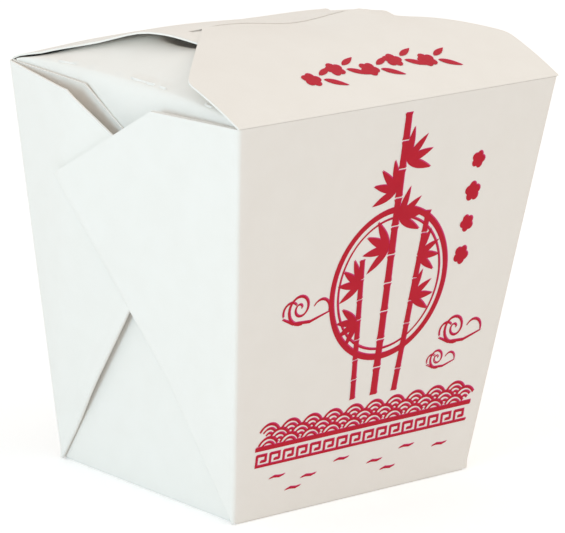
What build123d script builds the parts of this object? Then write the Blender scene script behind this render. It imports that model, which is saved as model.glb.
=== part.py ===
"""A folded paperboard takeout carton with four corner webs and a hinged lid flap.

The body is one sheet: a base, four flared walls, four corner webs that are each folded
double against the outside of a side wall, two dust flaps and a slit rear flap. The front
lid flap is the one part of the sheet that opens first, so it is a node of its own,
hinged on the crease along the top of the front wall, with its tongue down the slit.

The origin is at the middle of the base's underside. The front wall faces -Y and +Z is up.
"""

import os
from math import atan2, cos, degrees, hypot, pi, radians, sin

from build123d import *

# Board and how tightly it is folded
board = 0.45  # thickness of the paperboard
fold_gap = 0.2  # air left between two layers that are folded flat together
crease_gap = 0.2  # between the lid's rolled crease and the rim of the front wall

# Body, measured over the outside of the folds
base_width = 82.0
base_depth = 66.0
top_width = 110.0
top_depth = 86.0
wall_height = 105.0

# Corner webs
web_shoulder = 28.5  # top edge of a web, from its corner to where the slanting cut begins
web_drop = 1.2  # degrees that this edge falls away from the wall's top
back_splay = 6.0  # how far the back web's loose outer layer springs out at its shoulder

# Dust flaps, one folded in from each side wall
bend_height = 6.0  # the soft bend at the top of a side wall begins this far below its top,
bend_run = 5.0  # carries the board this far inwards
bend_rise = 0.9  # and ends this far above the wall's top
dust_flap_end = 9.0  # from the middle of the carton to the end of each flap
dust_flap_sag = 4.0  # the flap's end, below the top of the wall
dust_root_inset = 4.4  # each end of the flap's root, from the corner of the walls
dust_waist_run = 20.0  # from the root to where the flap's flanks turn
dust_waist_inset = 11.0  # how far the flanks have come in there
dust_end_inset = 18.0  # and at the flap's end
dust_corner = 9.0  # rounded corners of the flap's end

# Roof: the lid climbs from the front crease to the ridge, the rear flap from the back crease
ridge_rise = 12.75  # ridge above the top of the walls
ridge_setback = 2.0  # ridge behind the middle of the carton
lid_bow = 2.1  # how far the lid arches above a straight line
lid_shoulder = 19.0  # front crease to the shoulders, along the carton's depth
lid_shoulder_round = 4.0
lid_end_width = 54.0  # lid at the slit
roof_clearance = 0.3  # between the lid and the part of the rear flap that lies under it
rear_bow = 3.3  # how far the rear flap arches above a straight line
rear_root_inset = 1.0  # each end of the rear flap's root, from the corner of the walls
rear_ridge_width = 75.0  # rear flap at the ridge
rear_tuck = 14.0  # how far the rear flap reaches in front of the ridge
rear_tuck_width = 62.0
rear_corner = 6.0

# Tongue and slit
tongue_width = 50.0
tongue_length = 8.5
tongue_corner = 5.0
slit_length = 63.0
slit_clearance = 0.35  # on each face of the tongue


def between(low, high, share):
    """What lies this share of the way from low to high."""
    return low + (high - low) * share


def bowed_middle(start, end, bow):
    """Middle of an arc that rises this far above the straight line between its ends."""
    run = end - start
    upward = Vector(-run.Y, run.X).normalized()
    if upward.Y < 0:
        upward = -upward
    return between(start, end, 0.5) + upward * bow


def add_panel(corners, inside):
    """Add a flat panel of board: these are its outer face's corners, it is thick towards inside."""
    start, along, across = corners[0], corners[1] - corners[0], corners[2] - corners[0]
    normal = along.cross(across).normalized()
    if normal.dot(inside) < 0:
        normal = -normal
    face_plane = Plane(origin=start, x_dir=along, z_dir=normal)
    with BuildSketch(face_plane) as outline:
        with BuildLine():
            Polyline(*[face_plane.to_local_coords(corner) for corner in corners], close=True)
        make_face()
    extrude(outline.sketch, amount=board)


def add_fold(start, end, radius):
    """Add the round back of a fold that is pressed flat, from one point to the other."""
    with BuildSketch(Plane(origin=start, z_dir=end - start)) as section:
        Circle(radius)
    extrude(section.sketch, amount=(end - start).length)


# Walls: the front wall and the webs stop just under the lid's crease.
rim_height = wall_height - board / 2 - crease_gap
flare_x = (top_width - base_width) / 2
flare_y = (top_depth - base_depth) / 2
side_slant = hypot(wall_height, flare_x)
front_slant = hypot(wall_height, flare_y)


def wall_corner(side_x, side_y, height):
    """Outer corner of the walls at this height, on the sides given by the two signs."""
    share = height / wall_height
    half_width = between(base_width, top_width, share) / 2
    half_depth = between(base_depth, top_depth, share) / 2
    return Vector(side_x * half_width, side_y * half_depth, height)


# Layers that lie on a side wall, counted outwards from the wall's own outer face
layer_pitch = board + fold_gap
web_stack = 2 * layer_pitch  # brings an outer web layer flush with the corner of the walls
fold_radius = (board + fold_gap) / 2 + board / 4  # of the round back of a double layer
layer_middle = board + fold_gap / 2  # middle of two layers, in from the face of the outer one
side_outward = Vector(-wall_height, 0, -flare_x).normalized()
side_up = Vector(-flare_x, 0, wall_height).normalized()

# A web is the sheet between the edges of two walls, folded in half along its diagonal.
front_edge_angle = atan2(flare_x, front_slant)
side_edge_angle = atan2(flare_y, side_slant)
half_web_angle = (pi / 2 - front_edge_angle - side_edge_angle) / 2
diagonal_angle = half_web_angle - side_edge_angle  # from the wall's slant
edge_across = Vector(cos(side_edge_angle), sin(side_edge_angle))

# Its outline in the plane of the side wall, as (towards the middle, up the slant)
web_root = Vector(0, 0)
web_top = Vector(-flare_y, side_slant) * (rim_height / wall_height)
web_edge = Vector(cos(radians(web_drop)), -sin(radians(web_drop)))
web_point = web_top + web_edge * web_shoulder
diagonal = Vector(sin(diagonal_angle), cos(diagonal_angle))
web_tip = diagonal * web_point.dot(diagonal)


def on_side(side_y, point, lift):
    """Place an outline point on the left side, this far out from the wall's outer face."""
    foot = Vector(-base_width / 2, side_y * (base_depth / 2 - point.X), 0)
    return foot + side_up * point.Y + side_outward * (lift - web_stack)


# The back web's shoulder springs out, and the front web rides over the ridge that it makes.
ridge_share = web_tip.Y / web_point.Y
back_ridge = web_point * ridge_share
back_ridge_lift = web_stack + back_splay * ridge_share
front_reach = Vector(base_depth - back_ridge.X, back_ridge.Y).dot(edge_across)
front_slope = back_ridge_lift / (front_reach - board)

# Dust flap of the left side: the soft bend at the wall's top, then the arched flap
bend_level = Vector(-flare_y, side_slant) * (1 - bend_height / wall_height)
bend_foot = on_side(1, bend_level, -board / 2)
bend_start = Vector(bend_foot.X, bend_foot.Z)
side_top_x = on_side(1, Vector(0, side_slant), 0).X
bend_end = Vector(side_top_x + bend_run, wall_height + bend_rise)
flap_end = Vector(-dust_flap_end, wall_height - dust_flap_sag)
dust_outline_corners = [
    (side_top_x - board, top_depth / 2 - dust_root_inset),
    (side_top_x + bend_run / 2, top_depth / 2 - dust_root_inset),
    (side_top_x + dust_waist_run, top_depth / 2 - dust_waist_inset),
    (-dust_flap_end, top_depth / 2 - dust_end_inset),
]

with BuildPart() as dust_flap:
    with BuildSketch(Plane.XZ) as dust_section:
        with BuildLine() as dust_line:
            bend = TangentArc(bend_start, bend_end, tangent=(-flare_x, wall_height))
            TangentArc(bend_end, flap_end, tangent=bend % 1)
        trace(dust_line.line, line_width=board)
    extrude(dust_section.sketch, amount=top_depth / 2, both=True)
    with BuildSketch(Plane.XY.offset(bend_start.Y - board)) as dust_outline:
        with BuildLine():
            Polyline(
                *dust_outline_corners,
                *[(x, -y) for x, y in reversed(dust_outline_corners)],
                close=True,
            )
        make_face()
        fillet(dust_outline.vertices().group_by(Axis.X)[-1], radius=dust_corner)
    extrude(dust_outline.sketch, amount=3 * bend_height, mode=Mode.INTERSECT)

# Left side: the wall, its dust flap and its two double webs
fold_inset = Vector(board + fold_gap + fold_radius, 0)  # side wall's edge, behind the front wall
with BuildPart() as left_side:
    wall_edge = [fold_inset, bend_level + fold_inset]
    add_panel(
        [on_side(-1, point, 0) for point in wall_edge]
        + [on_side(1, point, 0) for point in reversed(wall_edge)],
        inside=-side_outward,
    )
    add(dust_flap.part)
    for side_y, slope in ((-1, front_slope), (1, 0)):
        # The inner layer turns back from the edge of the side wall.
        inner = [fold_inset, web_top + fold_inset, web_point, web_tip]
        lifts = [layer_pitch + slope * (point - fold_inset).dot(edge_across) for point in inner]
        add_panel(
            [on_side(side_y, point, lift) for point, lift in zip(inner, lifts)],
            inside=-side_outward,
        )
        add_fold(
            on_side(side_y, fold_inset, fold_gap / 2),
            on_side(side_y, web_top + fold_inset, fold_gap / 2),
            fold_radius,
        )
        # The two layers join along the diagonal.
        tip_lift = web_stack + slope * web_tip.dot(edge_across)
        add_fold(
            on_side(side_y, web_root, web_stack - layer_middle),
            on_side(side_y, web_tip, tip_lift - layer_middle),
            fold_radius,
        )
        # The outer layer goes on from the corner of the walls: flat in front, sprung at the back.
        root = on_side(side_y, web_root, web_stack)
        top = on_side(side_y, web_top, web_stack)
        tip = on_side(side_y, web_tip, tip_lift)
        if slope:
            shoulder_lift = web_stack + slope * web_point.dot(edge_across)
            shoulder = on_side(side_y, web_point, shoulder_lift)
            add_panel([root, top, shoulder, tip], inside=-side_outward)
        else:
            shoulder = on_side(side_y, web_point, web_stack + back_splay)
            add_panel([root, top, shoulder], inside=-side_outward)
            add_panel([between(root, shoulder, 0.015), shoulder, tip], inside=-side_outward)

# Roof lines across the front crease, as (depth, height) at the middle of the board
hinge = Vector(-top_depth / 2 + board / 2, wall_height)
ridge = Vector(ridge_setback, wall_height + ridge_rise)
back_crease = Vector(top_depth / 2 - board / 2, wall_height - board / 2)
lid_arc = ThreePointArc(hinge, bowed_middle(hinge, ridge, lid_bow), ridge)
lid_centre = lid_arc.arc_center


def under_lid(distance):
    """Point of the rear flap under the lid, this far in front of the ridge along the lid."""
    turn = degrees(distance / lid_arc.radius)
    share = 1 - (board + roof_clearance) / lid_arc.radius
    return lid_centre + (ridge - lid_centre).rotate(Axis.Z, turn) * share


slit_width = board + 2 * slit_clearance
rear_outline_corners = [
    (top_width / 2 - rear_root_inset, top_depth / 2 + board),
    (top_width / 2 - rear_root_inset, top_depth / 2 - board),
    (rear_ridge_width / 2, ridge_setback),
    (rear_tuck_width / 2, ridge_setback - rear_tuck),
]

with BuildPart() as rear_flap:
    with BuildSketch(Plane.YZ) as rear_section:
        with BuildLine() as rear_line:
            rear_middle = bowed_middle(back_crease, under_lid(0), rear_bow)
            ThreePointArc(back_crease, rear_middle, under_lid(0))
            ThreePointArc(under_lid(0), under_lid(rear_tuck / 2), under_lid(rear_tuck))
        trace(rear_line.line, line_width=board)
        with Locations((back_crease.X, back_crease.Y)):
            Circle(board / 2)
    extrude(rear_section.sketch, amount=top_width / 2, both=True)
    with BuildSketch(Plane.XY.offset(wall_height - board)) as rear_outline:
        with BuildLine():
            Polyline(
                *rear_outline_corners,
                *[(-x, y) for x, y in reversed(rear_outline_corners)],
                close=True,
            )
        make_face()
        fillet(rear_outline.vertices().group_by(Axis.Y)[0], radius=rear_corner)
    extrude(rear_outline.sketch, amount=2 * ridge_rise, mode=Mode.INTERSECT)
    with BuildSketch(Plane.XY.offset(wall_height)) as slit:
        with Locations((0, ridge_setback)):
            SlotOverall(slit_length, slit_width)
    extrude(slit.sketch, amount=2 * ridge_rise, mode=Mode.SUBTRACT)

# Carton body: everything that one blank holds, but for the lid
with BuildPart() as carton_body:
    with BuildSketch() as base_outline:
        Rectangle(base_width - 2 * web_stack, base_depth)
    extrude(base_outline.sketch, amount=board)
    for side_y, top_height in ((-1, rim_height), (1, wall_height - board / 2)):
        add_panel(
            [
                wall_corner(-1, side_y, 0),
                wall_corner(1, side_y, 0),
                wall_corner(1, side_y, top_height),
                wall_corner(-1, side_y, top_height),
            ],
            inside=Vector(0, -side_y, 0),
        )
    add(left_side.part)
    add(mirror(left_side.part, about=Plane.YZ, mode=Mode.PRIVATE))
    add(rear_flap.part)
    split(bisect_by=Plane.XY, keep=Keep.TOP)
carton_body.part.label = "carton_body"

# Tongue: it follows a circle about the lid's crease, so it leaves the slit as the lid opens.
tongue_turn = degrees(tongue_length / (ridge - hinge).length)
tongue_middle = hinge + (ridge - hinge).rotate(Axis.Z, -tongue_turn / 2)
tongue_end = hinge + (ridge - hinge).rotate(Axis.Z, -tongue_turn)

with BuildPart() as tongue:
    with BuildSketch(Plane.YZ) as tongue_section:
        with BuildLine() as tongue_line:
            ThreePointArc(ridge, tongue_middle, tongue_end)
        trace(tongue_line.line, line_width=board)
    extrude(tongue_section.sketch, amount=tongue_width / 2, both=True)
    tip_edges = tongue.faces().sort_by(Axis.Z)[0].edges().filter_by(Axis.X, reverse=True)
    fillet(tip_edges, radius=tongue_corner)

# Front lid flap: shoulders as wide as the carton, then a taper to the slit
lid_outline_corners = [
    (top_width / 2, -top_depth / 2 - board),
    (top_width / 2, -top_depth / 2 + lid_shoulder),
    (lid_end_width / 2, ridge_setback - board),
    (lid_end_width / 2, ridge_setback + board),
]

with BuildPart() as front_lid_flap:
    with BuildSketch(Plane.YZ) as lid_section:
        with BuildLine() as lid_line:
            ThreePointArc(hinge, bowed_middle(hinge, ridge, lid_bow), ridge)
        trace(lid_line.line, line_width=board)
        with Locations((hinge.X, hinge.Y), (ridge.X, ridge.Y)):
            Circle(board / 2)
    extrude(lid_section.sketch, amount=top_width / 2, both=True)
    with BuildSketch(Plane.XY.offset(wall_height - board)) as lid_outline:
        with BuildLine():
            Polyline(
                *lid_outline_corners,
                *[(-x, y) for x, y in reversed(lid_outline_corners)],
                close=True,
            )
        make_face()
        shoulders = lid_outline.vertices().filter_by_position(
            Axis.Y, -top_depth / 2 + lid_shoulder - board, -top_depth / 2 + lid_shoulder + board
        )
        fillet(shoulders, radius=lid_shoulder_round)
    extrude(lid_outline.sketch, amount=2 * ridge_rise, mode=Mode.INTERSECT)
    add(tongue.part)
front_lid_flap.part.label = "front_lid_flap"

os.makedirs("parts", exist_ok=True)
export_step(carton_body.part, "parts/carton_body.step")
export_step(front_lid_flap.part, "parts/front_lid_flap.step")
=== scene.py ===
"""A folded paperboard takeout carton, standing on a pale floor with its lid flap shut."""

from math import cos, hypot, pi, radians, sin

import bmesh
import bpy
import numpy as np
from mathutils import Matrix, Vector


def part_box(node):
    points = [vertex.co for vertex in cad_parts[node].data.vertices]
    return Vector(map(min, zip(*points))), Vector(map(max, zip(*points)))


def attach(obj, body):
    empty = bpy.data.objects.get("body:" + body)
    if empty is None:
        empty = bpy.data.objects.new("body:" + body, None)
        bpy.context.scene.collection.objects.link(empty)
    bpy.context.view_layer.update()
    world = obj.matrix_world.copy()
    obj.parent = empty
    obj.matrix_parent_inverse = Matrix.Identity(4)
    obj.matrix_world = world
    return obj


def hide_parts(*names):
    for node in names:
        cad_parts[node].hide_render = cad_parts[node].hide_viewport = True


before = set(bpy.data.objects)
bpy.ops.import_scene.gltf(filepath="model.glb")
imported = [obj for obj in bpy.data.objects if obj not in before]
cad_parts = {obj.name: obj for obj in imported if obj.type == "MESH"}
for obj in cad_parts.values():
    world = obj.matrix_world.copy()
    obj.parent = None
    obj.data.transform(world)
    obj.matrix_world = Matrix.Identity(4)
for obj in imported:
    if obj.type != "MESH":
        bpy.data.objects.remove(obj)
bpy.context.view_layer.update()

# The carton's body is one die-cut sheet of 0.45 mm board, scored and folded: a base, four
# flared walls, four corner webs folded double and laid on the side walls, two dust flaps and
# the rear flap. Its grids lie on the middle of the board, in millimetres.
MM = 0.001
BOARD = 0.45
HALF = BOARD / 2
LAYER_PITCH = 0.65  # from one layer to the next where the sheet is folded flat
STACK = 2 * LAYER_PITCH
CORNER_ROUND = 1.1
WALL_HEIGHT = 105.0
RIM = 104.8  # front and back walls end here, just under their creases
BASE_HALF_WIDTH = 41.0
BASE_HALF_DEPTH = 33.0
TOP_HALF_WIDTH = 55.0
TOP_HALF_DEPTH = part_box("carton_body")[1].y / MM
FLARE_X = TOP_HALF_WIDTH - BASE_HALF_WIDTH
FLARE_Y = TOP_HALF_DEPTH - BASE_HALF_DEPTH
SIDE_SLANT = hypot(WALL_HEIGHT, FLARE_X)
RIM_SHARE = RIM / WALL_HEIGHT
WEB_SHOULDER = (18.5, 105.2)  # towards the middle of the side wall, and up its slant
WEB_TIP = (53.6, 82.3)
TIP_SHARE = WEB_TIP[1] / SIDE_SLANT
TIP_BEND_FOOT = (22.8, 35.0)
TIP_BEND_SLOPE = 0.128
BACK_SPRING = 5.6
BACK_STAND_OFF = 1.3
BEND_FOOT = 97.0  # the side wall's soft bend starts here
SCORE_X = -50.2  # crinkled score at the dust flap's root
SCORE_PROFILE = (
    (-42.0, 104.9),
    (-30.0, 106.9),
    (-15.0, 107.9),
    (0.0, 108.1),
    (15.0, 107.7),
    (30.0, 106.9),
    (42.0, 105.2),
)
CRINKLE = 0.2  # how rough the score is along the dust flap's root
FLAP_END_X = -10.0
HINGE = (-TOP_HALF_DEPTH + HALF, WALL_HEIGHT)
RIDGE = (2.0, 117.65)
LID_MIDDLE = (-20.97, 113.4)
REAR_PROFILE = (
    (-12.0, 115.2),
    (-4.0, 116.4),
    (2.0, 117.0),
    (7.0, 117.0),
    (14.0, 115.7),
    (22.0, 113.3),
    (30.0, 110.9),
    (36.0, 108.7),
    (42.2, 105.4),
)
REAR_HALF_WIDTHS = (
    (-12.0, 31.0),
    (-4.0, 35.6),
    (3.0, 38.2),
    (12.0, 40.6),
    (22.0, 44.0),
    (33.0, 48.6),
    (42.2, 53.675),
)
RIDGE_SAG = 2.0  # the lid's end dips where its tongue goes down the slit
SLIT_HALF = 31.5
SLIT_Y = (1.45, 2.6)


def smooth_step(value, low, high):
    """0 below low, 1 above high, and a smooth climb between them."""
    share = np.clip((np.asarray(value, float) - low) / (high - low), 0, 1)
    return share * share * (3 - 2 * share)


def smooth_low(a, b, soft):
    """The lower of two values, rounded off where they cross."""
    mix = np.clip(0.5 + 0.5 * (b - a) / soft, 0, 1)
    return b + (a - b) * mix - soft * mix * (1 - mix)


def smooth_line(points):
    """A smooth height through a few (place, height) points."""
    places, heights = zip(*points)
    return np.polynomial.Polynomial.fit(places, heights, len(points) - 3)


def xyz(*parts):
    """x, y and z as one array of points."""
    return np.stack(np.broadcast_arrays(*[np.asarray(part, float) for part in parts]), axis=-1)


def bent(start, corner, end, steps=6):
    """Columns of a bend that rounds off a corner, from one edge's points to the other's."""
    turn = np.linspace(0, 1, steps)[None, :, None]
    return (
        start[:, None] * (1 - turn) ** 2
        + corner[:, None] * 2 * turn * (1 - turn)
        + end[:, None] * turn**2
    )


def folded_back(first, second, outward):
    """Columns of the round back of a fold that is pressed flat, between two layers' edges."""
    turn = np.linspace(0, pi, 7)[None, :, None]
    middle = (first + second) / 2
    reach = outward * LAYER_PITCH / 2
    return middle[:, None] + (first - middle)[:, None] * np.cos(turn) + reach * np.sin(turn)


class Sheet:
    """Grids of points on the middle of the board, joined into one piece where they meet."""

    def __init__(self):
        self.points = []
        self.faces = []

    def add(self, grid, mirrored=False):
        rows, columns = grid.shape[:2]
        start = len(self.points)
        flat = grid.reshape(-1, 3) * ((-1, 1, 1) if mirrored else (1, 1, 1))
        self.points += [tuple(point * MM) for point in flat]
        for row in range(rows - 1):
            for column in range(columns - 1):
                first = start + row * columns + column
                face = (first, first + 1, first + columns + 1, first + columns)
                self.faces.append(face[::-1] if mirrored else face)

    def piece(self, name):
        mesh = bpy.data.meshes.new(name)
        mesh.from_pydata(self.points, [], self.faces)
        work = bmesh.new()
        work.from_mesh(mesh)
        bmesh.ops.remove_doubles(work, verts=work.verts, dist=0.02 * MM)
        bmesh.ops.dissolve_degenerate(work, edges=work.edges, dist=0.004 * MM)
        bmesh.ops.recalc_face_normals(work, faces=work.faces)
        work.to_mesh(mesh)
        work.free()
        made = bpy.data.objects.new(name, mesh)
        bpy.context.scene.collection.objects.link(made)
        thick = made.modifiers.new("board", "SOLIDIFY")
        thick.thickness = BOARD * MM
        thick.offset = 0
        solid = bpy.data.meshes.new_from_object(
            made.evaluated_get(bpy.context.evaluated_depsgraph_get())
        )
        solid.name = name
        made.modifiers.clear()
        made.data = solid
        solid.shade_smooth()
        solid.set_sharp_from_angle(angle=radians(38))
        return made


def on_side(end, across, up, lift):
    """Points on the left side: end is -1 from the front corner of the base, 1 from the back."""
    foot = xyz(-BASE_HALF_WIDTH, end * (BASE_HALF_DEPTH - across), 0 * (up + lift))
    outward = SIDE_OUT * np.asarray(lift - STACK)[..., None]
    return foot + SIDE_UP * np.asarray(up)[..., None] + outward


def beside(across, up, start, end):
    """Distance to the right of a line on a web."""
    run = np.array(end, float) - start
    run /= hypot(*run)
    return (across - start[0]) * run[1] - (up - start[1]) * run[0]


def front_spring(across, up):
    """How far the front web's tip bends away from the wall, over the back web."""
    far = beside(across, up, TIP_BEND_FOOT, CORNER_TOP)
    soft = 6.0
    eased = np.clip(far + soft, 0, 2 * soft) ** 2 / (4 * soft)
    return TIP_BEND_SLOPE * np.where(far > soft, far, eased)


def back_spring(across, up):
    """How far the back web's outer layer springs out, to a ridge that climbs to its shoulder."""
    from_edge = beside(across, up, (0, 0), CORNER_TOP) / beside(*WEB_SHOULDER, (0, 0), CORNER_TOP)
    from_fold = beside(across, up, (0, 0), WEB_TIP) / beside(*WEB_SHOULDER, (0, 0), WEB_TIP)
    return BACK_SPRING * np.maximum(smooth_low(from_edge, from_fold, 0.2), 0)


def back_stand_off(across, up):
    """How far both layers of the back web stand off the wall along the middle of their fold."""
    edge = beside(across, up, (0, 0), CORNER_TOP)
    fold = -beside(across, up, (0, 0), WEB_TIP)
    near = edge / np.maximum(edge + fold, 0.5)
    return BACK_STAND_OFF * smooth_step(up, 8, 28) * (1 - smooth_step(up, 46, 70)) * near**2


def web_layer(inset):
    """(across, up) over one layer of a web, from the corner of the walls to its fold or cut."""
    start = corner_line + (inset, 0)
    start = np.where(start[:, :1] > end_line[:, :1] - 0.05, end_line - (0.05, 0), start)
    return start[:, None] + (end_line - start)[:, None] * np.linspace(0, 1, 28)[None, :, None]


SIDE_OUT = np.array((-WALL_HEIGHT, 0, -FLARE_X)) / SIDE_SLANT
SIDE_UP = np.array((-FLARE_X, 0, WALL_HEIGHT)) / SIDE_SLANT
CORNER_TOP = (-FLARE_Y, SIDE_SLANT)
levels = np.concatenate((np.linspace(0.004, TIP_SHARE, 34), np.linspace(TIP_SHARE, 1, 16)[1:]))
folded = levels <= TIP_SHARE + 1e-9
half_width = BASE_HALF_WIDTH + FLARE_X * levels * RIM_SHARE
half_depth = BASE_HALF_DEPTH + FLARE_Y * levels * RIM_SHARE
corner_line = np.stack((-FLARE_Y * levels, SIDE_SLANT * levels), axis=-1) * RIM_SHARE
up_cut = np.clip((levels - TIP_SHARE) / (1 - TIP_SHARE), 0, 1)[:, None]
fold_line = np.array(WEB_TIP) * (levels / TIP_SHARE)[:, None]
cut_line = np.array(WEB_TIP) + (np.array(WEB_SHOULDER) - WEB_TIP) * up_cut
end_line = np.where(folded[:, None], fold_line, cut_line)
fold_way = np.array((WEB_TIP[1], -WEB_TIP[0])) / hypot(*WEB_TIP)
columns = np.linspace(-1, 1, 45)
roots = {}

body = Sheet()
for end in (-1, 1):
    wall_y = end * (half_depth - HALF)
    flat_half = half_width - HALF - CORNER_ROUND
    wall = xyz(columns[None, :] * flat_half[:, None], wall_y[:, None], (levels * RIM)[:, None])
    roots[end] = wall[-1]
    body.add(wall)
    outer = web_layer(CORNER_ROUND + HALF)
    inner = web_layer(STACK)
    if end < 0:
        outer_rise = front_spring(outer[..., 0], outer[..., 1])
        inner_rise = front_spring(inner[..., 0], inner[..., 1])
    else:
        outer_rise = np.maximum(
            back_spring(outer[..., 0], outer[..., 1]), back_stand_off(outer[..., 0], outer[..., 1])
        )
        inner_rise = back_stand_off(inner[..., 0], inner[..., 1])
    outer_grid = on_side(end, outer[..., 0], outer[..., 1], outer_rise + STACK - HALF)
    inner_grid = on_side(end, inner[..., 0], inner[..., 1], inner_rise + LAYER_PITCH - HALF)
    corner = xyz(-(half_width - HALF), wall_y, levels * RIM)
    diagonal_out = fold_way[0] * np.array((0, -end, 0)) + fold_way[1] * SIDE_UP
    wall_edge = corner_line + (STACK, 0)
    edge_grid = on_side(end, wall_edge[:, 0], wall_edge[:, 1], np.full(len(levels), -HALF))
    for mirrored in (False, True):
        body.add(outer_grid, mirrored)
        body.add(inner_grid, mirrored)
        body.add(bent(wall[:, 0], corner, outer_grid[:, 0]), mirrored)
        web_fold = folded_back(outer_grid[folded, -1], inner_grid[folded, -1], diagonal_out)
        body.add(web_fold, mirrored)
        body.add(folded_back(inner_grid[:, 0], edge_grid, np.array((0, end, 0))), mirrored)

# side walls below the soft bend
side_columns = np.linspace(-1, 1, 57)
side_rows = np.concatenate((levels[levels * RIM < BEND_FOOT], [BEND_FOOT / RIM]))
side_half = BASE_HALF_DEPTH + FLARE_Y * side_rows * RIM_SHARE - STACK
side_mid = SIDE_OUT * (STACK + HALF)
side_wall = (
    xyz(-BASE_HALF_WIDTH, side_columns[None, :] * side_half[:, None], 0)
    + SIDE_UP * (SIDE_SLANT * side_rows * RIM_SHARE)[:, None, None]
    - side_mid
)
lid_circle = np.array((HINGE, LID_MIDDLE, RIDGE))
solved = np.linalg.solve(np.c_[2 * lid_circle, np.ones(3)], (lid_circle**2).sum(1))
lid_centre = solved[:2]
lid_radius = (solved[2] + (lid_centre**2).sum()) ** 0.5
rear_line = smooth_line(REAR_PROFILE)


def lid_height(y):
    """Middle of the lid, from the front crease to the ridge."""
    return lid_centre[1] + np.sqrt(lid_radius**2 - (y - lid_centre[0]) ** 2)


def ridge_dip(x, y):
    """How far the roof dips at the middle of the slit, and towards the carton's right."""
    near = np.exp(-(((y - 2.0) / 11.0) ** 2))
    dip = RIDGE_SAG * np.exp(-(((x - 5.0) / 15.0) ** 2)) * near
    behind = smooth_step(y, 2, 12) * (1 - smooth_step(y, 28, 42))
    lean = smooth_step(x, -27, 40) * (0.9 * near + 2.0 * behind)
    return dip + lean + 1.8 * smooth_step(x, 26, 37) * near


def roof_under(x, y):
    """Highest place for a dust flap under the lid and the rear flap."""
    front = lid_height(np.clip(y, HINGE[0], RIDGE[0]))
    rear = rear_line(np.clip(y, REAR_PROFILE[0][0], REAR_PROFILE[-1][0]))
    lower = smooth_low(np.where(y < 8, front, 200), np.where(y > -8, rear, 200), 1.0)
    return lower - ridge_dip(x, y) - BOARD - 0.2


bend_steps = np.linspace(0, 1, 15)[1:]
flap_steps = np.linspace(0, 1, 34)[1:]
start_x, start_y, start_z = side_wall[-1].T
arch = 1 - np.abs(side_columns) ** 3.5
score_x = SCORE_X - 3.6 * (1 - arch)
crinkle = CRINKLE * np.random.default_rng(11).standard_normal(len(side_columns)) * arch
for mirrored in (False, True):
    hand = -1 if mirrored else 1
    score_z = np.minimum(smooth_line(SCORE_PROFILE)(start_y), roof_under(hand * score_x, start_y))
    guide_z = start_z + (score_z - start_z) * 0.93
    guide_x = start_x - FLARE_X / WALL_HEIGHT * (guide_z - start_z)
    flap = []
    for turn in bend_steps:
        near, middle, far = (1 - turn) ** 2, 2 * turn * (1 - turn), turn**2
        x = start_x * near + guide_x * middle + score_x * far
        z = start_z * near + guide_z * middle + score_z * far
        flap.append(xyz(x, start_y, z))
    flap[-1][:, 0] += 2.0 * crinkle
    flap[-1][:, 2] += np.abs(crinkle)
    flap[-2][:, 2] -= 0.7 * np.abs(crinkle)
    for step in flap_steps:
        x = score_x + (FLAP_END_X - score_x) * step
        y = start_y * np.interp(step, (0, 0.08, 0.45, 1), (1, 0.97, 0.9, 0.62))
        climb = 7.0 * np.sin(np.clip(step / 0.55, 0, 1) * pi / 2) * arch
        pressed = np.exp(-(((y - 3.0) / 6.0) ** 2))  # pressed down under the lid's tongue
        climb = climb * (1 - pressed * smooth_step(step, 0.35, 0.62))
        natural = score_z + climb - (2 + 4 * pressed) * smooth_step(step, 0.4, 1.0)
        z = smooth_low(natural, roof_under(hand * x, y), 0.6)
        flap.append(xyz(x, y, z))
    body.add(np.concatenate((side_wall, np.stack(flap))), mirrored)

# rear flap with its slit
rear_rows = np.array(
    (42.2, 41, 39, 36, 33, 30, 26, 22, 18, 14, 11, 8, 5.5, 4, 3.2)
    + (SLIT_Y[1], SLIT_Y[0], 0.5, -2, -5, -8, -10.5, -12)
)
rear_half = smooth_line(REAR_HALF_WIDTHS)(rear_rows)
rear_half[0] = REAR_HALF_WIDTHS[-1][1]
rear_x = columns[None, :] * rear_half[:, None]
ledge = 0.6 * (np.exp(-(((rear_rows - 2.7) / 3.0) ** 2)) * (rear_rows > 2))[:, None]
ledge = ledge * (1 - smooth_step(np.abs(rear_x), 20, 29))
curl_rows = smooth_step(rear_rows, 8, 24) * (1 - smooth_step(rear_rows, 36, 42))
curl = 1.3 * np.abs(columns)[None, :] ** 8 * curl_rows[:, None]
rear_z = rear_line(rear_rows)[:, None] + ledge - ridge_dip(rear_x, rear_rows[:, None]) - curl
rear = xyz(rear_x, rear_rows[:, None], rear_z)
back_bend = bent(roots[1], roots[1] + (0, 0, 0.35), rear[0])
body.add(back_bend)
slit_row = int(np.where(rear_rows == SLIT_Y[1])[0][0])
body.add(rear[: slit_row + 1])
body.add(rear[slit_row + 1 :])
beyond = np.abs(rear[slit_row, :, 0]) >= SLIT_HALF - 1
for side in (columns < 0, columns > 0):
    keep = beyond & side
    body.add(rear[slit_row : slit_row + 2][:, keep])

# base
base_half_x = BASE_HALF_WIDTH - STACK - HALF
base_rows = np.linspace(-1, 1, 9) * (BASE_HALF_DEPTH - HALF)
base = xyz(np.linspace(-1, 1, 11)[None, :] * base_half_x, base_rows[:, None], HALF)
body.add(base)

carton = body.piece("folded_carton")

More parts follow.
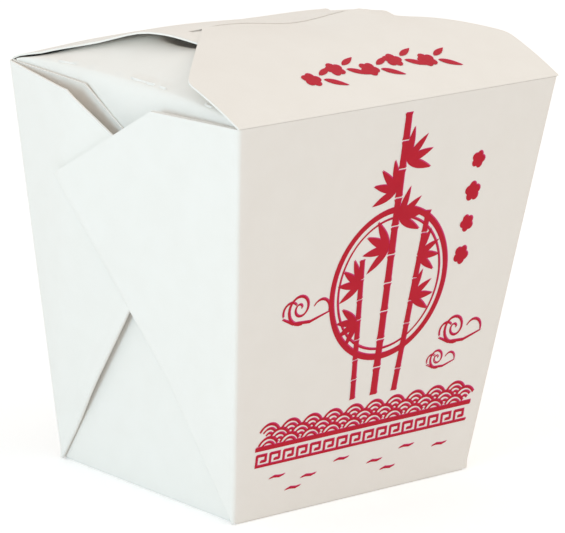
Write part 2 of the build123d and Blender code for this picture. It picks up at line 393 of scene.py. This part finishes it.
# The board is white, clay-coated paperboard: a satin coat, a faint mottle, fine fibres under
# the coat and a slow waviness from folding.
def fibre_grain():
    """Shared effect: mottle from 0 to 1 and a height for the bump, from fibres and waves."""
    tree = bpy.data.node_groups.new("fibre_grain", "ShaderNodeTree")
    face = tree.interface
    face.new_socket("Waviness", in_out="INPUT", socket_type="NodeSocketFloat").default_value = 1.0
    face.new_socket("Mottle", in_out="OUTPUT", socket_type="NodeSocketFloat")
    face.new_socket("Height", in_out="OUTPUT", socket_type="NodeSocketFloat")
    nodes, links = tree.nodes, tree.links
    given = nodes.new("NodeGroupInput")
    result = nodes.new("NodeGroupOutput")
    place = nodes.new("ShaderNodeTexCoord")

    def cloud(scale, detail, stretch=None):
        made = nodes.new("ShaderNodeTexNoise")
        made.inputs["Scale"].default_value = scale
        made.inputs["Detail"].default_value = detail
        if stretch:
            pull = nodes.new("ShaderNodeMapping")
            pull.inputs["Scale"].default_value = stretch
            links.new(place.outputs["Object"], pull.inputs["Vector"])
            links.new(pull.outputs[0], made.inputs["Vector"])
        else:
            links.new(place.outputs["Object"], made.inputs["Vector"])
        return made.outputs["Fac"]

    def maths(operation, *values):
        node = nodes.new("ShaderNodeMath")
        node.operation = operation
        for socket, value in zip(node.inputs, values):
            if isinstance(value, (int, float)):
                socket.default_value = value
            else:
                links.new(value, socket)
        return node.outputs[0]

    links.new(cloud(140, 6), result.inputs["Mottle"])
    waves = maths("MULTIPLY", cloud(28, 1), given.outputs["Waviness"])
    fibres = maths("MULTIPLY", cloud(2600, 2, (1, 1, 0.35)), 0.03)
    links.new(maths("ADD", waves, fibres), result.inputs["Height"])
    return tree


grain = fibre_grain()
board = bpy.data.materials.new("coated_board")
board.use_nodes = True
nodes = board.node_tree.nodes
links = board.node_tree.links
shader = nodes["Principled BSDF"]
shader.inputs["Specular IOR Level"].default_value = 0.35
texture = nodes.new("ShaderNodeGroup")
texture.node_tree = grain
tint = nodes.new("ShaderNodeValToRGB")
tint.color_ramp.elements[0].position = 0.3
tint.color_ramp.elements[0].color = (0.893, 0.851, 0.797, 1)
tint.color_ramp.elements[1].position = 0.7
tint.color_ramp.elements[1].color = (0.908, 0.868, 0.817, 1)
gloss = nodes.new("ShaderNodeMapRange")
gloss.inputs["To Min"].default_value = 0.42
gloss.inputs["To Max"].default_value = 0.58
bump = nodes.new("ShaderNodeBump")
bump.inputs["Strength"].default_value = 0.5
bump.inputs["Distance"].default_value = 0.9 * MM
links.new(texture.outputs["Mottle"], tint.inputs["Fac"])
links.new(texture.outputs["Mottle"], gloss.inputs["Value"])
links.new(texture.outputs["Height"], bump.inputs["Height"])
links.new(tint.outputs["Color"], shader.inputs["Base Color"])
links.new(gloss.outputs["Result"], shader.inputs["Roughness"])
links.new(bump.outputs["Normal"], shader.inputs["Normal"])
carton.data.materials.append(board)
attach(carton, "carton")
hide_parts("carton_body")

# The lid flap is the front part of the same sheet. It turns at the crease along the front
# wall's rim, arches back to the ridge, and its tongue goes down through the rear flap's slit.
TONGUE_TURN = radians(10.5)  # length of the tongue, as a turn about the crease
lid = Sheet()
lid_turns = np.linspace(0.012, 1, 41)
lid_y = HINGE[0] + (RIDGE[0] - HINGE[0]) * lid_turns
lid_half = smooth_low(np.full(41, TOP_HALF_WIDTH), TOP_HALF_WIDTH - (lid_y + 24) * 28 / 26, 2.0)
lid_x = columns[None, :] * lid_half[:, None]
lid_z = lid_height(lid_y)[:, None] - ridge_dip(lid_x, lid_y[:, None])
lid_grid = xyz(lid_x, lid_y[:, None], lid_z)
crease_start = lid_grid[0] * (1, 0, 0) + (0, HINGE[0] + 0.02, RIM + 0.04)
crease_corner = lid_grid[0] * (1, 0, 0) + (0, HINGE[0], WALL_HEIGHT + 0.15)
lid.add(bent(crease_start, crease_corner, lid_grid[0]))
lid.add(lid_grid)
reach = np.array(RIDGE) - HINGE
tongue_columns = slice(2, len(columns) - 2)
tip_round = 1 - 0.45 * np.abs(columns[tongue_columns] / columns[-3]) ** 6
tongue_share = np.linspace(0, 1, 9)[:, None]
tongue_turn = np.arctan2(reach[1], reach[0]) - TONGUE_TURN * tongue_share * tip_round
tongue_x = lid_grid[-1:, tongue_columns, 0]
tongue_z = HINGE[1] + hypot(*reach) * np.sin(tongue_turn) - ridge_dip(tongue_x, RIDGE[0])
lid.add(xyz(tongue_x, HINGE[0] + hypot(*reach) * np.cos(tongue_turn), tongue_z))
lid_piece = lid.piece("lid_flap")
lid_piece.data.materials.append(board)
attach(lid_piece, "lid")
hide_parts("front_lid_flap")

# The print on the front wall is two passes of flat ink, a magenta one and a crimson one laid
# a little out of register over it. Its motifs are laid out flat in millimetres, across and up
# from the foot of the wall: a moon ring with bamboo, clouds, blossoms, waves and a key border.
INK = 0.012  # thickness of a film of ink
MAGENTA_LIFT = 0.01  # from the board to the underside of each ink
CRIMSON_LIFT = 0.045
LAYING = 0.0004  # each shape lies this much over the one before, so that none coincide
CRIMSON = (0.50, 0.006, 0.024, 1)
MAGENTA = (0.62, 0.035, 0.17, 1)


def ink(name, colour):
    """Flat printing ink with a faint sheen and slightly uneven cover."""
    made = bpy.data.materials.new(name)
    made.use_nodes = True
    nodes = made.node_tree.nodes
    links = made.node_tree.links
    shader = nodes["Principled BSDF"]
    shader.inputs["Roughness"].default_value = 0.42
    shader.inputs["Specular IOR Level"].default_value = 0.15
    texture = nodes.new("ShaderNodeGroup")
    texture.node_tree = grain
    cover = nodes.new("ShaderNodeMix")
    cover.data_type = "RGBA"
    cover.inputs[6].default_value = colour
    cover.inputs[7].default_value = tuple(1.2 * part + 0.004 for part in colour[:3]) + (1,)
    links.new(texture.outputs["Mottle"], cover.inputs["Factor"])
    links.new(cover.outputs[2], shader.inputs["Base Color"])
    return made


crimson_ink = ink("crimson_ink", CRIMSON)
magenta_ink = ink("magenta_ink", MAGENTA)


def flat_mesh(outlines):
    """One flat mesh from outlines, each a list of (across, up) corners."""
    points = [(x, y, 0) for outline in outlines for x, y in outline]
    faces = []
    for outline in outlines:
        start = sum(len(face) for face in faces)
        faces.append(tuple(range(start, start + len(outline))))
    mesh = bpy.data.meshes.new("motif")
    mesh.from_pydata(points, [], faces)
    return mesh


def brush(points, widths):
    """Outlines of a brush stroke along a line of points, as short pieces that meet."""
    line = np.array(points, float)
    way = np.gradient(line, axis=0)
    way /= np.linalg.norm(way, axis=1)[:, None]
    side = np.stack((-way[:, 1], way[:, 0]), axis=-1) * np.asarray(widths, float)[:, None] / 2
    left, right = line + side, line - side
    return [
        [tuple(right[n]), tuple(right[n + 1]), tuple(left[n + 1]), tuple(left[n])]
        for n in range(len(line) - 1)
    ]


def arc(x, y, radius, start, end, steps, width, taper=0.0):
    """A brush stroke along an arc, in degrees, thinner towards its ends by taper."""
    turn = np.radians(np.linspace(start, end, steps))
    line = np.stack((x + radius * np.cos(turn), y + radius * np.sin(turn)), axis=-1)
    return brush(line, width * (1 - taper * np.abs(np.linspace(-1, 1, steps)) ** 2))


def leaf(length, width):
    """A bamboo leaf that points along x from its stalk."""
    share = np.linspace(0, 1, 11)
    half = width / 2 * np.sin(pi * share**0.8) ** 0.9
    top = list(zip(share * length, half))
    return [top + [(x, -y) for x, y in reversed(top[1:-1])]]


def lay_out_tree(name, turned):
    """Geometry Nodes that repeat a motif: over rows and columns, or in a fan round a point."""
    tree = bpy.data.node_groups.new(name, "GeometryNodeTree")
    face = tree.interface
    face.new_socket("Motif", in_out="INPUT", socket_type="NodeSocketGeometry")
    for label, kind in (
        ("Columns", "NodeSocketInt"),
        ("Rows", "NodeSocketInt"),
        ("Column Pitch", "NodeSocketFloat"),
        ("Row Pitch", "NodeSocketFloat"),
        ("Row Shift", "NodeSocketFloat"),
        ("Fan Angle", "NodeSocketFloat"),
        ("Wobble", "NodeSocketFloat"),
        ("Ink", "NodeSocketMaterial"),
    ):
        face.new_socket(label, in_out="INPUT", socket_type=kind)
    face.new_socket("Print", in_out="OUTPUT", socket_type="NodeSocketGeometry")
    nodes, links = tree.nodes, tree.links
    given = nodes.new("NodeGroupInput")
    result = nodes.new("NodeGroupOutput")

    def maths(operation, first, second):
        node = nodes.new("ShaderNodeMath")
        node.operation = operation
        for socket, value in zip(node.inputs, (first, second)):
            if isinstance(value, (int, float)):
                socket.default_value = value
            else:
                links.new(value, socket)
        return node.outputs[0]

    number = maths("MULTIPLY", given.outputs["Columns"], given.outputs["Rows"])
    dots = nodes.new("GeometryNodePoints")
    index = nodes.new("GeometryNodeInputIndex").outputs[0]
    links.new(number, dots.inputs["Count"])
    copies = nodes.new("GeometryNodeInstanceOnPoints")
    links.new(dots.outputs[0], copies.inputs["Points"])
    links.new(given.outputs["Motif"], copies.inputs["Instance"])
    wobble = nodes.new("FunctionNodeRandomValue")
    wobble.data_type = "FLOAT"
    wobble.inputs["Seed"].default_value = 7
    links.new(given.outputs["Wobble"], wobble.inputs[3])
    links.new(maths("MULTIPLY", given.outputs["Wobble"], -1.0), wobble.inputs[2])
    lean = nodes.new("ShaderNodeCombineXYZ")
    if turned:
        fan = maths("MULTIPLY", index, given.outputs["Fan Angle"])
        links.new(maths("ADD", fan, wobble.outputs[1]), lean.inputs["Z"])
    else:
        in_rows_so_far = maths("DIVIDE", maths("ADD", index, 0.01), given.outputs["Columns"])
        row = maths("FLOOR", in_rows_so_far, 0.0)
        column = maths("SUBTRACT", index, maths("MULTIPLY", row, given.outputs["Columns"]))
        odd = maths("MODULO", row, 2.0)
        across = maths("MULTIPLY", column, given.outputs["Column Pitch"])
        shifted = maths("ADD", across, maths("MULTIPLY", odd, given.outputs["Row Shift"]))
        place = nodes.new("ShaderNodeCombineXYZ")
        links.new(shifted, place.inputs["X"])
        links.new(maths("MULTIPLY", row, given.outputs["Row Pitch"]), place.inputs["Y"])
        links.new(place.outputs[0], dots.inputs["Position"])
        links.new(wobble.outputs[1], lean.inputs["Z"])
    links.new(lean.outputs[0], copies.inputs["Rotation"])
    real = nodes.new("GeometryNodeRealizeInstances")
    links.new(copies.outputs[0], real.inputs[0])
    paint = nodes.new("GeometryNodeSetMaterial")
    links.new(real.outputs[0], paint.inputs["Geometry"])
    links.new(given.outputs["Ink"], paint.inputs["Material"])
    links.new(paint.outputs[0], result.inputs[0])
    return tree


in_rows = lay_out_tree("motif_in_rows", turned=False)
in_a_fan = lay_out_tree("motif_in_a_fan", turned=True)


def repeated(outlines, tree, **inputs):
    """Outlines of a motif repeated by a tree, read back from its plain mesh."""
    holder = bpy.data.objects.new("motif", flat_mesh(outlines))
    bpy.context.scene.collection.objects.link(holder)
    lay = holder.modifiers.new("lay_out", "NODES")
    lay.node_group = tree
    values = {"Columns": 1, "Rows": 1, "Ink": crimson_ink}
    values.update({label.replace("_", " "): value for label, value in inputs.items()})
    for socket in tree.interface.items_tree:
        if socket.in_out == "INPUT" and socket.name in values:
            lay[socket.identifier] = values[socket.name]
    laid_out = holder.evaluated_get(bpy.context.evaluated_depsgraph_get())
    mesh = bpy.data.meshes.new_from_object(laid_out)
    corners = [mesh.vertices[n].co for n in range(len(mesh.vertices))]
    made = [[(corners[n].x, corners[n].y) for n in face.vertices] for face in mesh.polygons]
    bpy.data.objects.remove(holder)
    bpy.data.meshes.remove(mesh)
    return made


def moved(outlines, across, up, turn=0.0, size=1.0):
    """Outlines turned by degrees, scaled and moved."""
    c, s = cos(radians(turn)) * size, sin(radians(turn)) * size
    return [
        [(across + x * c - y * s, up + x * s + y * c) for x, y in outline] for outline in outlines
    ]


def printed(name, outlines, surface, colour, lift, body_name):
    """Outlines laid on a surface as a film of ink."""
    mesh = flat_mesh(outlines)
    work = bmesh.new()
    work.from_mesh(mesh)
    for number, face in enumerate(work.faces):
        if face.normal.z < 0:
            face.normal_flip()
        for vertex in face.verts:
            vertex.co.z = lift + LAYING * (number % 41)
    bmesh.ops.triangulate(work, faces=work.faces)
    for vertex in work.verts:
        vertex.co = Vector(surface(*vertex.co)) * MM
    work.to_mesh(mesh)
    work.free()
    mesh.name = name
    made = bpy.data.objects.new(name, mesh)
    bpy.context.scene.collection.objects.link(made)
    film = made.modifiers.new("film", "SOLIDIFY")
    film.thickness = INK * MM
    film.offset = 1
    mesh.materials.append(colour)
    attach(made, body_name)
    return made


def on_front(across, up, lift):
    """A point over the outer face of the front wall."""
    depth = BASE_HALF_DEPTH + FLARE_Y * up / WALL_HEIGHT
    return (across, -depth - lift, up)


bamboo_side = [(1.25, 0.3), (1.05, 1.2), (1.0, 6.4), (1.25, 7.3)]
bamboo_joint = [bamboo_side + [(-x, y) for x, y in reversed(bamboo_side)]]
stalk = repeated(bamboo_joint, in_rows, Rows=10, Row_Pitch=7.5)
spray = repeated(leaf(9.0, 2.2), in_a_fan, Columns=4, Fan_Angle=0.62, Wobble=0.12)
petal = [[(1.15 + 1.05 * cos(a) * 1.1, 1.05 * sin(a)) for a in np.linspace(0, 2 * pi, 13)[:-1]]]
blossom = repeated(petal, in_a_fan, Columns=5, Fan_Angle=2 * pi / 5)
scallop = arc(0, 0, 3.6, 30, 150, 13, 0.6) + arc(0, 0, 2.4, 36, 144, 11, 0.5)
scallop += arc(0, 0, 1.2, 33, 147, 9, 0.5)
waves = repeated(
    scallop, in_rows, Columns=10, Rows=3, Column_Pitch=7.2, Row_Pitch=1.8, Row_Shift=3.6
)
key = [
    [(0, 0), (4.6, 0), (4.6, 0.6), (0, 0.6)],
    [(0, 0.6), (0.6, 0.6), (0.6, 3.4), (0, 3.4)],
    [(0.6, 2.8), (3.6, 2.8), (3.6, 3.4), (0.6, 3.4)],
    [(3.0, 1.2), (3.6, 1.2), (3.6, 2.8), (3.0, 2.8)],
    [(1.6, 1.2), (3.0, 1.2), (3.0, 1.8), (1.6, 1.8)],
]
border = repeated(key, in_rows, Columns=16, Column_Pitch=4.6)
curl_turns = np.linspace(0, 3.6 * pi, 40)
curl_reach = 0.5 + 0.36 * curl_turns
curl_line = np.stack((curl_reach * np.cos(curl_turns), curl_reach * np.sin(curl_turns)), axis=-1)
curl = brush(curl_line, np.linspace(0.35, 0.75, 40))
cloud = curl + arc(-3.4, -0.6, 2.6, 40, 205, 12, 0.6, 0.5)
cloud += arc(7.6, -1.6, 3.0, -10, 150, 12, 0.6, 0.5)
cloud += brush([(-6.0, -2.2), (-2.0, -4.0), (4.0, -4.3), (10.8, -2.4)], (0.3, 0.7, 0.7, 0.3))
ripple = brush([(-2.6, 0), (-1, 0.35), (1, 0.1), (2.6, 0.4)], (0.15, 0.5, 0.5, 0.15))

front_art = []
front_art += arc(3, 57, 19.5, 0, 360, 90, 1.5)
front_art += arc(3, 57, 17.4, 0, 360, 90, 0.45)
front_art += moved(stalk, 2.5, 27)
front_art += moved(stalk[:8], 9.6, 27, -5, 0.8)
front_art += moved(stalk[:7], -4.8, 27, 4, 0.72)
for across, up, turn, size in (
    (3.8, 89, -20, 1.0),
    (3.6, 74, -30, 0.95),
    (1.6, 81.5, 100, 0.95),
    (1.4, 66.5, 120, 1.0),
    (12.0, 63, -40, 0.85),
    (11.4, 52, -35, 0.85),
    (-7.2, 58, 110, 0.85),
    (-6.6, 48, 140, 0.8),
):
    front_art += moved(spray, across, up, turn, size)
front_art += moved(cloud, -27, 55, 0, 0.95)
front_art += moved(cloud, 29, 41, 0, 0.9)
front_art += moved(cloud, 24, 33.5, 0, 0.6)
for step, size in enumerate((1.0, 1.15, 1.0, 1.1)):
    front_art += moved(blossom, 29.5 - 0.6 * step, 86 - 8.4 * step, 20 * step, size)
front_art += moved(waves, -32.4, 18.2)
front_art += moved(border, -36.0, 14.2)
front_art += [[(-36.5, 18.6), (38.5, 18.6), (38.5, 19.7), (-36.5, 19.7)]]
upper_ripples = ((-28, 10.5), (-17, 8.8), (-6, 11.2), (6, 8.5), (17, 10.6), (29, 9.0))
lower_ripples = ((-22, 6.4), (11, 5.8))
for across, up in upper_ripples + lower_ripples:
    front_art += moved(ripple, across, up)
printed("front_print_magenta", moved(front_art, 0.32, 0.22), on_front, magenta_ink, MAGENTA_LIFT, "carton")
printed("front_print_crimson", front_art, on_front, crimson_ink, CRIMSON_LIFT, "carton")


# The lid's print is a sprig of the same blossoms and leaves, in the same two inks, laid over
# the lid's curve.
LID_PRINT_GAP = 0.03  # keeps the flat faces of the ink clear of the curve


def on_lid(across, along, lift):
    """A point over the top of the lid, by its place across and its distance from the crease."""
    y = HINGE[0] + along
    rise = float(lid_height(y) - ridge_dip(across, y))
    slope = float(lid_height(y + 0.5) - lid_height(y - 0.5))
    normal = np.array((0, -slope, 1)) / hypot(1, slope)
    return tuple(np.array((across, y, rise)) + normal * (HALF + lift + LID_PRINT_GAP))


lid_art = []
for step, (across, up) in enumerate(((-20, 12), (-10, 14.5), (0, 12.5), (10, 14.5), (20, 12.5))):
    lid_art += moved(blossom, across, up, 25 * step, 1.2)
    lid_art += moved(leaf(6.5, 1.9), across + 3.4, up - 0.6, -32)
    lid_art += moved(leaf(6.0, 1.7), across + 3.6, up + 1.2, 24)
printed("lid_print_magenta", moved(lid_art, 0.3, 0.2), on_lid, magenta_ink, MAGENTA_LIFT, "lid")
printed("lid_print_crimson", lid_art, on_lid, crimson_ink, CRIMSON_LIFT, "lid")


# The floor is a plain pale sweep that isn't part of the carton. It looks white from the
# camera and keeps the carton's shadow.
FLOOR_HALF = 3.0
floor_mesh = bpy.data.meshes.new("floor")
floor_mesh.from_pydata(
    [(x * FLOOR_HALF, y * FLOOR_HALF, 0) for x, y in ((-1, -1), (1, -1), (1, 1), (-1, 1))],
    [],
    [(0, 1, 2, 3)],
)
floor = bpy.data.objects.new("floor", floor_mesh)
bpy.context.scene.collection.objects.link(floor)
floor_paint = bpy.data.materials.new("floor_paint")
floor_paint.use_nodes = True
nodes = floor_paint.node_tree.nodes
links = floor_paint.node_tree.links
shader = nodes["Principled BSDF"]
shader.inputs["Base Color"].default_value = (0.85, 0.85, 0.85, 1)
shader.inputs["Roughness"].default_value = 0.9
shader.inputs["Emission Color"].default_value = (1, 1, 1, 1)
seen = nodes.new("ShaderNodeLightPath")
glow = nodes.new("ShaderNodeMath")
glow.operation = "MULTIPLY"
glow.inputs[1].default_value = 0.3
links.new(seen.outputs["Is Camera Ray"], glow.inputs[0])
links.new(glow.outputs[0], shader.inputs["Emission Strength"])
floor_mesh.materials.append(floor_paint)

# Soft studio light: an even pale room, a cool soft lamp beyond the left side wall, and a
# weaker warm one high on the right for the lid.
world = bpy.data.worlds.new("room")
bpy.context.scene.world = world
world.use_nodes = True
nodes = world.node_tree.nodes
links = world.node_tree.links
backdrop = nodes["Background"]
backdrop.inputs["Color"].default_value = (1, 0.98, 0.955, 1)
seen = nodes.new("ShaderNodeLightPath")
level = nodes.new("ShaderNodeMix")
level.inputs["A"].default_value = 0.8
level.inputs["B"].default_value = 1.0
links.new(seen.outputs["Is Camera Ray"], level.inputs["Factor"])
links.new(level.outputs[0], backdrop.inputs["Strength"])


def soft_lamp(name, place, size, watts, colour):
    """A square soft lamp that faces the middle of the carton."""
    data = bpy.data.lights.new(name, "AREA")
    data.size = size
    data.energy = watts
    data.color = colour
    lamp = bpy.data.objects.new(name, data)
    lamp.location = place
    lamp.rotation_euler = (Vector((0, 0, 0.05)) - Vector(place)).to_track_quat("-Z", "Y").to_euler()
    bpy.context.scene.collection.objects.link(lamp)


soft_lamp("lamp_left", (-1.5, -0.2, 0.3), 0.6, 8.0, (0.55, 0.84, 1.0))
soft_lamp("lamp_right", (0.9, -0.5, 1.2), 1.0, 3.6, (1.0, 0.86, 0.7))

# The camera looks at the corner between the front wall and the left side wall, from a
# little above and slightly rolled, through a long lens.
AZIMUTH = radians(-43.709)
ELEVATION = radians(15.271)
ROLL = radians(2.997)
DISTANCE = 1.25887
AIM_HEIGHT = 0.0525
LENS_MM = 314.4
back = Vector((sin(AZIMUTH) * cos(ELEVATION), -cos(AZIMUTH) * cos(ELEVATION), sin(ELEVATION)))
level_right = (-back).cross(Vector((0, 0, 1))).normalized()
level_up = level_right.cross(-back)
right = level_right * cos(ROLL) + level_up * sin(ROLL)
up = level_up * cos(ROLL) - level_right * sin(ROLL)
eye = Vector((0, 0, AIM_HEIGHT)) + right * 0.002076 + up * 0.000255 + back * DISTANCE
camera_data = bpy.data.cameras.new("camera")
camera_data.lens = LENS_MM
camera_data.clip_end = 20
camera = bpy.data.objects.new("camera", camera_data)
camera.matrix_world = Matrix.Translation(eye) @ Matrix((right, up, back)).transposed().to_4x4()
bpy.context.scene.collection.objects.link(camera)
bpy.context.scene.camera = camera
bpy.context.scene.view_settings.view_transform = "Standard"
